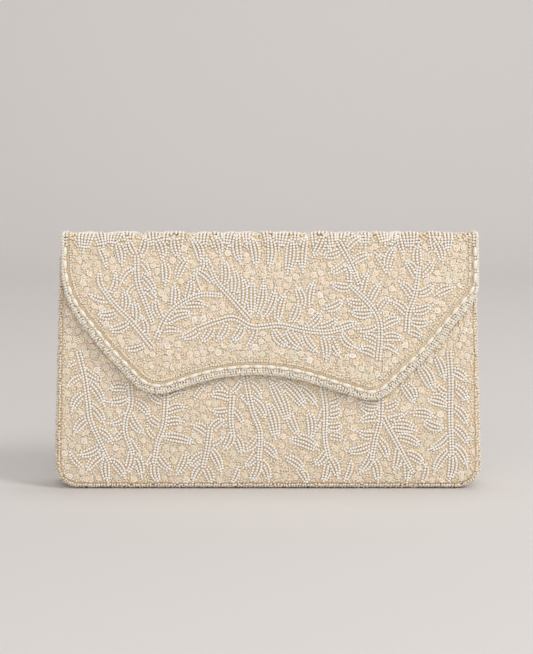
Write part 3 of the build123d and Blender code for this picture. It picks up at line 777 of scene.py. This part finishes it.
# The flap's cloth in three parts: from and to which s, on which bodies, and the CAD family it stands for
FLAP_GROUPS = {
    "flap": (-99.0, FOLD_FROM, ["flap"], "flap"),
    "fold_front": (FOLD_FROM, FOLD_SPLIT, ACROSS_FRONT, "fold"),
    "fold_back": (FOLD_SPLIT, S_END + 2.0, ACROSS_REAR, "fold"),
}
BODY = ["purse_body"]
MOST_BEADS = 3900


def bead_pieces(name, rows, place, solid, material, node, holder=BODY):
    """Meshes of beads, cut into as many tiles across the panel as keep each one small."""
    rows = rows[np.argsort(rows[:, 0], kind="stable")]
    room = MOST_BEADS * len(SEED_BEAD[1]) // len(solid[1])
    tiles = math.ceil(len(rows) / room)
    for index, tile in enumerate(np.array_split(rows, max(tiles, 1))):
        if len(tile):
            label = name if tiles == 1 else f"{name}_{index + 1}"
            points, quads, tris, painted_light = bead_mesh(tile, place, solid)
            settle(make_object(label, points, quads, tris, material, painted_light), holder, [node])


def flap_bead_pieces(name, rows, solid, material, node="beadwork"):
    """The same for beads of the flap's plane, in one set for each part of the flap and its fold."""
    for group, (low, high, holder, family) in FLAP_GROUPS.items():
        chosen = rows[(rows[:, 1] >= low) & (rows[:, 1] < high)]
        bead_pieces(f"{group}_{name}", chosen, flap_place, solid, material, f"{family}_{node}", holder)


def grid_shell(name, place, x, s, high, low, material):
    """A closed sheet between two heights over a grid of design positions."""
    rows, columns = x.shape
    top = place(x, s, high)[0].reshape(-1, 3)
    bottom = place(x, s, low)[0].reshape(-1, 3)
    index = np.arange(rows * columns).reshape(rows, columns)
    corners = (index[:-1, :-1], index[:-1, 1:], index[1:, 1:], index[1:, :-1])
    a, b, c, d = [corner.ravel() for corner in corners]
    under = rows * columns
    rim = np.concatenate([index[0, :-1], index[:-1, -1], index[-1, :0:-1], index[:0:-1, 0]])
    after = np.roll(rim, -1)
    quads = np.concatenate([
        np.stack([a, b, c, d], 1),
        np.stack([d, c, b, a], 1) + under,
        np.stack([rim, rim + under, after + under, after], 1),
    ])
    return make_object(name, np.concatenate([top, bottom]), quads, [], material)


RIM_END = (RIM - BEAD_LAYER / 2) * math.pi / 2 - RIM


def wall_reach(s):
    """Half of a wall's width in its design plane, rounded edges laid flat."""
    low = np.maximum(CORNER - s, 0)
    radius = CORNER + RIM_END
    round_reach = INNER + np.sqrt(np.maximum(radius**2 - low**2, 0))
    return np.where(s < CORNER, round_reach, half_width(s) + RIM_END)


def wall_grid(top):
    """Design positions over a whole wall, closer together near its rounded edges."""
    upward = np.array([0.0, 0.4, 1, 2, 3, 4, 5, 6, 7, 8, 9.5, 11, 13])
    rise = np.concatenate([upward - RIM_END, np.linspace(14.5, top, 40)])
    reach = wall_reach(rise)[:, None]
    inward = np.array([0, 0.5, 1, 1.7, 2.4, 3.2, 4, 4.8, 5.6, 6.4, 8, 10])
    left = inward - reach
    share = np.linspace(-1, 1, 42)[1:-1]
    across = np.concatenate([left, (reach - inward[-1]) * share, -left[:, ::-1]], 1)
    return across, np.repeat(rise[:, None], across.shape[1], 1)


def band_grid(start, stop, step=1.5, columns=17):
    """Design positions over a stretch of the band of gussets and base."""
    along = np.linspace(start, stop, round((stop - start) / step) + 1)[:, None]
    return np.repeat(along, columns, 1), band_half(along) * np.linspace(-1, 1, columns)


def flap_grid(inset, low, high):
    """Design positions over the flap, with its outline as the lower edge, or over a part of its fold."""
    left, right = flap_left + side_inset(inset), flap_right - side_inset(inset)
    if low > 0:
        return np.meshgrid(np.linspace(left, right, 90), np.linspace(low, high, 10))
    columns, rows = 200, 26
    route = flap_route(inset, 1.0)
    below = route[:, 1] <= high
    route = route[int(np.argmax(below)) : len(route) - int(np.argmax(below[::-1]))]
    lower = spaced(route, (len(route) - 1) / columns)
    lower = lower[np.linspace(0, len(lower) - 1, columns).round().astype(int)]
    upper = np.stack([np.linspace(left, right, columns), np.full(columns, high)], 1)
    share = np.linspace(0, 1, rows)[:, None, None]
    both = lower[None] * (1 - share) + upper[None] * share
    return both[..., 0], both[..., 1]


# From and to which height over the satin each layer lies
SATIN = (0.0, -0.5)
BOARD = (-0.5, -1.4)
LINING = (-1.4, -1.9)
FLAP_HEIGHTS = (SATIN, (-0.5, -1.3), (-1.3, -1.7))
# How far inside the flap's outline each of its layers ends
FLAP_INSETS = (0.4, 3.4, 0.8)


def cloth(name, place, x, s, heights, material, holder, node, rests_on):
    """A closed sheet on its body; the area of its middle laid flat is worked out but not passed on."""
    high, low = heights
    piece = grid_shell(name, place, x, s, high, low, material)
    settle(piece, holder, [node])
    grid = place(x, s, (high + low) / 2)[0]
    right, up = np.diff(grid, axis=1), np.diff(grid, axis=0)
    area = float(np.linalg.norm(np.cross(right[:-1], up[:, :-1]), axis=2).sum())
    return piece


UNDER = {"satin": "stiffener", "stiffener": "lining", "lining": "stiffener"}


LAYERS = (("satin", ground_satin, "ground_satin"), ("stiffener", buckram, "stiffener"),
          ("lining", lining_satin, "satin_lining"))


def body_cloths():
    """Satin, board and lining of both walls, the two gussets and the base."""
    walls = (("front", -1, mouth_height), ("back", 1, rear_z))
    grids = [(part, wall_place(facing), *wall_grid(top)) for part, facing, top in walls]
    grids += [(part, band_place, *band_grid(start, stop)) for part, start, stop in BAND_PARTS]
    for (layer, material, slot_name), heights in zip(LAYERS, (SATIN, BOARD, LINING)):
        for part, place, x, s in grids:
            cloth(f"{part}_{layer}_cloth", place, x, s, heights, material, BODY,
                  f"{part}_{layer}", [f"{part}_{UNDER[layer]}_cloth"])


def flap_cloths():
    """Satin, board and lining of the flap and of the two halves of its fold."""
    for group, (low, high, holder, family) in FLAP_GROUPS.items():
        for (layer, material, slot_name), heights, inset in zip(LAYERS, FLAP_HEIGHTS, FLAP_INSETS):
            x, s = flap_grid(inset, low, min(high, S_END))
            cloth(f"{group}_{layer}_cloth", flap_place, x, s, heights, material, holder,
                  f"{family}_{layer}", [f"{group}_{UNDER[layer]}_cloth"])


def swept(path, normal, section):
    """Points and faces of a closed tube along a path, from (across, out) offsets at each point."""
    count, sides = len(path), section.shape[1]
    way = unit(np.gradient(path, axis=0))
    across = unit(np.cross(normal, way))
    out = np.cross(way, across)
    points = path[:, None] + across[:, None] * section[..., :1] + out[:, None] * section[..., 1:]
    ring, turn = np.arange(count - 1)[:, None] * sides, np.arange(sides)[None]
    after = (turn + 1) % sides
    corners = (turn, after, sides + after, sides + turn)
    quads = np.stack([ring + corner for corner in corners], -1).reshape(-1, 4)
    tris = []
    for first, flip in ((0, True), ((count - 1) * sides, False)):
        fan = np.array([(first, first + k, first + k + 1) for k in range(1, sides - 1)])
        tris.append(fan[:, ::-1] if flip else fan)
    return points.reshape(-1, 3), quads, np.concatenate(tris)


CORD_RADIUS = 0.42
CORD_PITCH = 2.2


def twisted_cord(name, path, normal, material):
    """A two-ply cord along a path."""
    along = np.concatenate([[0], np.cumsum(np.linalg.norm(np.diff(path, axis=0), axis=1))])
    turn = np.arange(6) * math.pi / 3
    ply_edge = CORD_RADIUS * 0.55 * np.stack([np.cos(turn), np.sin(turn)], 1)[None]
    parts, offset = [], 0
    for ply in (0.0, math.pi):
        angle = 2 * math.pi * along / CORD_PITCH + ply
        centre = CORD_RADIUS * 0.5 * np.stack([np.cos(angle), np.sin(angle)], 1)
        points, quads, tris = swept(path, normal, centre[:, None] + ply_edge)
        parts.append((points, quads + offset, tris + offset))
        offset += len(points)
    return make_object(name, *[np.concatenate(part) for part in zip(*parts)], material)


# --- Panels ---


def wall_depth_inside(top):
    """How far design points of a wall are inside its laid-flat outline."""

    def inside(x, s):
        reach = np.abs(x)
        side = np.where(s < CORNER, 1e3, half_width(s) + RIM_END - reach)
        rounded = CORNER + RIM_END - np.hypot(reach - INNER, CORNER - s)
        corner = np.where((s < CORNER) & (reach > INNER), rounded, 1e3)
        base = np.where(reach > INNER, 1e3, s + RIM_END)
        return np.minimum.reduce([side, corner, base, top - s])

    return inside


SNAP_HEIGHT = middle("snap_socket_cap", "z")
SNAP_WINDOW = 8.2


def away_from_snap(x, s):
    return np.hypot(x, s - SNAP_HEIGHT) > SNAP_WINDOW


# The height up to which the front's rim swells, the pitch of an edge row, and how far its beads stray
SWELL_TOP = 80.0
EDGE_PITCH = 1.55
EDGE_STRAY = 0.16
STRUNG_STRAY = 0.1


def edge_row(line, rng, beads, plot, lift, size=0.95, strung=False, swell=0.0):
    """A row of small beads along a line, strung end to end or turned every way, a little out of line."""
    placed = spaced(line, EDGE_PITCH * size)
    ways = np.gradient(placed, axis=0)
    placed = placed + rng.normal(0, STRUNG_STRAY if strung else EDGE_STRAY, placed.shape)
    count = len(placed)
    turns = rng.uniform(0, 2 * math.pi, count)
    tilts = rng.uniform(-0.6, 0.95, count)
    if strung:
        turns = np.arctan2(ways[:, 1], ways[:, 0]) + rng.normal(0, 0.6, count)
        tilts = np.where(rng.random(count) < 0.5, rng.normal(0.9, 0.15, count), tilts * 0.6)
    low_down = np.clip((SWELL_TOP - placed[:, 1]) / SWELL_TOP, 0, 1) * np.clip(placed[:, 1] / CORNER, 0, 1)
    lifts = lift + swell * low_down + rng.normal(0, 0.08, count)
    radii = BEAD_RADIUS * size * rng.uniform(0.97, 1.1, count)
    length = 0.93 if strung else 0.85
    for (x, s), turn, tilt, height, radius in zip(placed, turns, tilts, lifts, radii):
        if plot.free(x, s, 1.1 * size):
            plot.take(x, s, 1.3 * size)
            beads.add(x, s, (math.cos(turn), math.sin(turn)), height, radius, radius * length, tilt)


def wall_rim_line(past, top):
    """A line down one side, along the base and up the other, that far inside the laid-flat outline."""
    radius = CORNER + RIM_END - past
    turn = np.linspace(0, math.pi / 2, 16)
    right = np.stack([INNER + radius * np.sin(turn), CORNER - radius * np.cos(turn)], 1)
    up = np.linspace(CORNER + 1, top, 60)
    side = np.stack([half_width(up) + RIM_END - past, up], 1)
    right = np.concatenate([right, side])
    return np.concatenate([right[::-1] * [-1, 1], right])


# Rows round a wall's rim: distance inside its laid-flat outline, height, and swell low down its sides
RIM_ROWS = ((0.6, 0.75, 1.3), (2.2, 1.0, 1.0), (3.8, 1.2, 0.5))
# How far inside the outline a wall's sprays and its ground begin
SPRAY_MARGIN = 3.6
GROUND_MARGIN = 6.0
# Where spots are drawn at random: boxes a little larger than the panels
WALL_BOX = (-120, 120)
BAND_BOX = (-20, 20)
FLAP_BOX = (-115, 117)
FLAP_BOX_BOTTOM = 45


def wall_beads(name, facing, top, snap):
    """Sprays, cup sequins and seed beads over one wall."""
    rng = np.random.default_rng(SEED + facing)
    depth = wall_depth_inside(top)
    leaves, seeds, sequins, plot = Beads(), Beads(), Beads(), Plot()

    def allowed(x, s, margin=GROUND_MARGIN):
        return (depth(x, s) > margin) & (away_from_snap(x, s) if snap else True)

    def allowed_leaf(x, s):
        inward = (depth(x, s) > SPRAY_MARGIN) & (np.abs(x) < half_width(s) - 2.5)
        return inward & allowed(x, s, 0.8) & (s < top - 1.2)

    for past, lift, swell in RIM_ROWS:
        edge_row(wall_rim_line(past, top - 0.8), rng, seeds, plot, lift, swell=swell)
    across = np.linspace(-half_width(top) + 4, half_width(top) - 4, 100)
    edge_row(np.stack([across, np.full(100, top - 0.9)], 1), rng, seeds, plot, 0.75, 0.9)
    lay_sprays(LOWER_STEMS, LOWER_LEAVES, leaves, plot, allowed_leaf, -facing)
    lay_sprays(UPPER_STEMS, UPPER_LEAVES, leaves, plot, allowed_leaf, facing)
    lay_ground(rng, (WALL_BOX, (-2, top)), allowed, plot, seeds, sequins)
    for (kind, solid, material), beads in zip(BEAD_KINDS, (leaves, seeds, sequins)):
        bead_pieces(f"{name}_{kind}", beads.array(), wall_place(facing), solid, material,
                    f"{name}_beadwork")


def band_beads():
    """Seed beads over the two gussets and the base, between the edge rows of the walls."""
    rng = np.random.default_rng(SEED + 5)
    plot = Plot()

    def allowed(x, s, margin):
        return (np.abs(s) < band_half(x) - margin) & (np.minimum(x, BAND_LENGTH - x) > 0.8)

    for part, start, stop in BAND_PARTS:
        seeds = Beads()
        lay_ground(rng, ((start, stop), BAND_BOX), allowed, plot, seeds)
        bead_pieces(f"{part}_seed_beads", seeds.array(), band_place, SEED_BEAD, seed_bead,
                    f"{part}_beadwork")


class DepthMap:
    """How far inside a line round the flap a design position is, looked up from a grid."""

    STEP = 0.5
    ACROSS = (-118, 120)
    BOTTOM = 40

    def __init__(self, route):
        self.x = np.arange(*self.ACROSS, self.STEP)
        self.s = np.arange(self.BOTTOM, S_END + 1, self.STEP)
        x, s = np.meshgrid(self.x, self.s)
        self.values = depth_inside(route, x.ravel(), s.ravel()).reshape(x.shape)

    def __call__(self, x, s):
        u = np.clip((np.asarray(x) - self.x[0]) / self.STEP, 0, len(self.x) - 1.001)
        v = np.clip((np.asarray(s) - self.s[0]) / self.STEP, 0, len(self.s) - 1.001)
        i, j = u.astype(int), v.astype(int)
        u, v = u - i, v - j
        grid = self.values
        low = grid[j, i] * (1 - u) + grid[j, i + 1] * u
        high = grid[j + 1, i] * (1 - u) + grid[j + 1, i + 1] * u
        return low * (1 - v) + high * v


# Leaves side by side over the fold, each a little out of step with the next
FOLD_LEAVES = [
    (x + 3 * math.sin(2.3 * x), fold_z - 3 - 4 * abs(math.sin(1.7 * x)),
     x + 4 * math.sin(1.1 * x), S_REAR + 6, 4 + x % 2, 5 * math.sin(x))
    for x in range(-101, 106, 9)
]
CLUMP_LIFT = 0.9
CLUMP_REACH = 5.0


def clumped(rows):
    """The same beads, raised in soft heaps where they go over the fold."""
    x, s = rows[:, 0], rows[:, 1]
    wave = np.sin(x * 0.23 + 1.0) + np.sin(x * 0.41 + 2.2) + 0.5 * np.sin(x * 0.09)
    near = np.exp(-(((s - S_TOP + 1.0) / CLUMP_REACH) ** 2))
    rows[:, HEIGHT_COLUMN] += CLUMP_LIFT * np.clip(0.4 + 0.4 * wave, 0, 1) * near
    return rows


def flap_beads():
    """The flap's sprays, sequins and seed beads, running on over the fold, and its edge trim."""
    rng = np.random.default_rng(SEED)
    depth = DepthMap(flap_route(BEADWORK_FROM, 2.0))
    leaves, seeds, sequins, plot = Beads(), Beads(), Beads(), Plot()

    def allowed(x, s, margin=0.5):
        return (depth(x, s) > margin) & (s < S_END - 0.5)

    def allowed_leaf(x, s):
        return depth(x, s) > 3.0

    edge_row(flap_route(BEADWORK_FROM + 0.6), rng, seeds, plot, 0.8, 0.9, strung=True)
    lay_sprays(UPPER_STEMS, UPPER_LEAVES, leaves, plot, allowed_leaf)
    lay_sprays([], FOLD_LEAVES, leaves, plot, allowed_leaf)
    lay_ground(rng, (FLAP_BOX, (FLAP_BOX_BOTTOM, S_END)), allowed, plot, seeds, sequins, fold_z - 2)
    for (kind, solid, material), beads in zip(BEAD_KINDS, (leaves, seeds, sequins)):
        flap_bead_pieces(kind, clumped(beads.array()), solid, material)


# Rows of the rope, and rows that go on upwards where the pearls end: distance inside the outline, height
ROPE_ROWS = [(0.55, -0.3), (0.8, 0.85), (1.75, 1.35), (2.9, 0.75)]
FILLER_ROWS = [(3.9, 1.2), (5.3, 1.0)]


def edge_rope():
    """Several rows of rocailles that make one rounded rope along the flap's edge."""
    rng = np.random.default_rng(SEED + 9)
    beads = Beads()
    for inset, lift in ROPE_ROWS:
        edge_row(flap_route(inset), rng, beads, Plot(), lift, strung=True)
    for inset, lift in FILLER_ROWS:
        line = flap_route(inset)
        above_pearls = (line[:, 1] > edge("flap_edge_pearls", "z", 1) + 0.3) & (line[:, 1] < S_TOP + 0.3)
        for side in (-1, 1):
            chosen = line[above_pearls & (line[:, 0] * side > 0)]
            edge_row(chosen, rng, beads, Plot(), lift, strung=True)
    flap_bead_pieces("rope_beads", beads.array(), SEED_BEAD, rocaille, "edge_rope")


CORD_LIFT = 0.5
CORD_STEP = 0.35


def edge_cord():
    """The twisted cord between the pearls and the beadwork."""
    route = flap_route(CORD_LINE, CORD_STEP)
    s = route[:, 1]
    half = len(route) // 2
    for group, (low, high, holder, family) in FLAP_GROUPS.items():
        chosen = np.flatnonzero((s >= low) & (s < high))
        runs = {"": chosen}
        if group != "flap":
            runs = {"_left": chosen[chosen < half], "_right": chosen[chosen >= half]}
        for ending, run in runs.items():
            run = np.arange(max(run[0] - 1, 0), min(run[-1] + 2, len(route)))
            path, normal = flap_place(route[run, 0], route[run, 1], CORD_LIFT)
            piece = twisted_cord(f"{group}_cord{ending}", path, normal, gold_thread)
            settle(piece, holder, [f"{family}_edge_cord"])


# --- Inside ---


def mouth_piping():
    """Satin-covered piping along the front wall's top, a little puckered."""
    turn = np.arange(10) * math.pi / 5
    radius = (edge("mouth_piping", "z", 1) - edge("mouth_piping", "z", 0)) / 2
    x = np.linspace(edge("mouth_piping", "x", 0), edge("mouth_piping", "x", 1), 320)
    y, z = middle("mouth_piping", "y"), middle("mouth_piping", "z")
    path = np.stack([x, np.full_like(x, y), np.full_like(x, z)], 1)
    pucker = radius * (0.96 + 0.04 * np.sin(x * 2.1))
    section = pucker[:, None, None] * np.stack([np.cos(turn), np.sin(turn)], 1)[None]
    normal = np.repeat([[0.0, 0.0, 1.0]], len(x), 0)
    piece = make_object("mouth_piping_satin", *swept(path, normal, section), trim_satin)
    settle(piece, BODY, ["mouth_piping"])


POCKET_BULGE = 0.8
POCKET_SEAM = 3.0
POCKET_THICK = 0.5
HEM_THICK = 0.4


def pocket_face(inset):
    """The height of the pocket's face over the back's satin, that far from its seams."""
    swell = np.clip((inset - POCKET_SEAM + 1) / 4, 0, 1)
    return LINING[1] - swell * swell * (3 - 2 * swell) * POCKET_BULGE


def slip_pocket():
    """A slip pocket seamed to the back lining on three sides, with a hem along its open top."""
    half = edge("slip_pocket", "x", 1)
    bottom, top = edge("slip_pocket", "z", 0), edge("slip_pocket", "z", 1)
    across = np.linspace(-half, half, 61)
    x, s = np.meshgrid(across, np.linspace(bottom, top, 45))
    high = pocket_face(np.minimum(half - np.abs(x), s - bottom))
    cloth("slip_pocket_cloth", wall_place(1), x, s, (high, high - POCKET_THICK), lining_satin, BODY,
          "slip_pocket", ["back_lining_cloth"])
    low, up = edge("pocket_hem", "z", 0), edge("pocket_hem", "z", 1)
    x, s = np.meshgrid(across, np.linspace(low, up, 12))
    high = pocket_face(half - np.abs(x)) - POCKET_THICK
    hem = grid_shell("slip_pocket_hem", wall_place(1), x, s, high, high - HEM_THICK, trim_satin)
    settle(hem, BODY, ["pocket_hem"])


# --- CAD pieces that stay, with their looks ---

CAD_LOOKS = [
    (pearl, ["flap_edge_pearls", "fold_edge_pearls"]),
    (glass_spacer, ["flap_edge_spacers", "fold_edge_spacers"]),
    (gilt, ["snap_socket_cap", "snap_socket_base", "snap_socket_washer", "snap_stud", "snap_stud_washer"]),
    (ferrite, ["snap_socket_magnet"]),
]


def dress_cad():
    """Gives the CAD nodes that stay in view their materials."""
    for look, names in CAD_LOOKS:
        for name in names:
            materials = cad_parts[name].data.materials
            materials.clear()
            materials.append(look)


# --- Studio ---

# The sweep, in metres: half its width, how far back the floor is flat, its cove and its height
SWEEP_HALF = 3.5
SWEEP_FLAT = 1.5
SWEEP_COVE = 0.7
SWEEP_TOP = 3.0
# Area lights: place, size, power and what they face
LIGHTS = {
    "key_light": ((1.5, -1.2, 1.5), 0.8, 25.0, (0, 0, 0.07)),
    "fill_light": ((-1.6, -1.5, 0.8), 1.6, 4.0, (0, 0, 0.07)),
    "front_light": ((0.1, -2.0, 0.9), 1.4, 15.0, (0, 0, 0.07)),
    "backdrop_light": ((0.2, 0.5, 2.4), 1.2, 17.0, (0.2, 2.0, 0.7)),
}
AIR_COLOUR = (1.0, 0.985, 0.97, 1)
AIR_STRENGTH = 0.32


def sweep():
    """A pale sweep that serves as floor and backdrop."""
    angle = np.linspace(0, math.pi / 2, 24)
    rear = SWEEP_FLAT + SWEEP_COVE
    y = np.concatenate([[-SWEEP_HALF, -0.5, 1.0], SWEEP_FLAT + SWEEP_COVE * np.sin(angle), [rear]]) / MM
    z = np.concatenate([[0, 0, 0], SWEEP_COVE * (1 - np.cos(angle)), [SWEEP_TOP]]) / MM
    points = [(side * SWEEP_HALF / MM, *at) for at in zip(y, z) for side in (-1, 1)]
    k = np.arange(len(y) - 1) * 2
    look = plain("studio_floor", (0.745, 0.712, 0.69), 0.8)
    floor = make_object("studio_sweep", points, np.stack([k, k + 1, k + 3, k + 2], 1), [], look)


def studio_light():
    """Soft light from the right front, a little from everywhere, and some for the backdrop alone."""
    for name, (place, size, power, target) in LIGHTS.items():
        data = bpy.data.lights.new(name, "AREA")
        data.size = size
        data.energy = power
        light = bpy.data.objects.new(name, data)
        bpy.context.scene.collection.objects.link(light)
        light.location = place
        aim(light, target)
    world = bpy.data.worlds.new("studio_air")
    bpy.context.scene.world = world
    world.use_nodes = True
    air = world.node_tree.nodes["Background"]
    air.inputs["Color"].default_value = AIR_COLOUR
    air.inputs["Strength"].default_value = AIR_STRENGTH


def aim(thing, target):
    """Turns a light or a camera that looks down its own -Z towards a place."""
    way = np.array(target) - np.array(thing.location)
    flat = math.hypot(way[0], way[1])
    thing.rotation_euler = (math.pi / 2 + math.atan2(way[2], flat), 0, math.atan2(-way[0], way[1]))


CAMERA_DISTANCE = 0.989
CAMERA_RISE = math.radians(6.0)
CAMERA_AIM = (-0.0008, -0.017, 0.0898)


def camera():
    """The photo's view: square on from the front and a little from above."""
    data = bpy.data.cameras.new("photo_camera")
    data.lens = 100.0
    data.sensor_width = 36.0
    made = bpy.data.objects.new("photo_camera", data)
    bpy.context.scene.collection.objects.link(made)
    x, y, z = CAMERA_AIM
    back, rise = CAMERA_DISTANCE * math.cos(CAMERA_RISE), CAMERA_DISTANCE * math.sin(CAMERA_RISE)
    made.location = (x, y - back, z + rise)
    aim(made, CAMERA_AIM)
    bpy.context.scene.camera = made
    bpy.context.scene.view_settings.view_transform = "Standard"


# --- The whole ---

body_cloths()
flap_cloths()
wall_beads("front", -1, mouth_height, True)
wall_beads("back", 1, rear_z, False)
band_beads()
flap_beads()
edge_rope()
edge_cord()
mouth_piping()
slip_pocket()
dress_cad()
sweep()
studio_light()
camera()
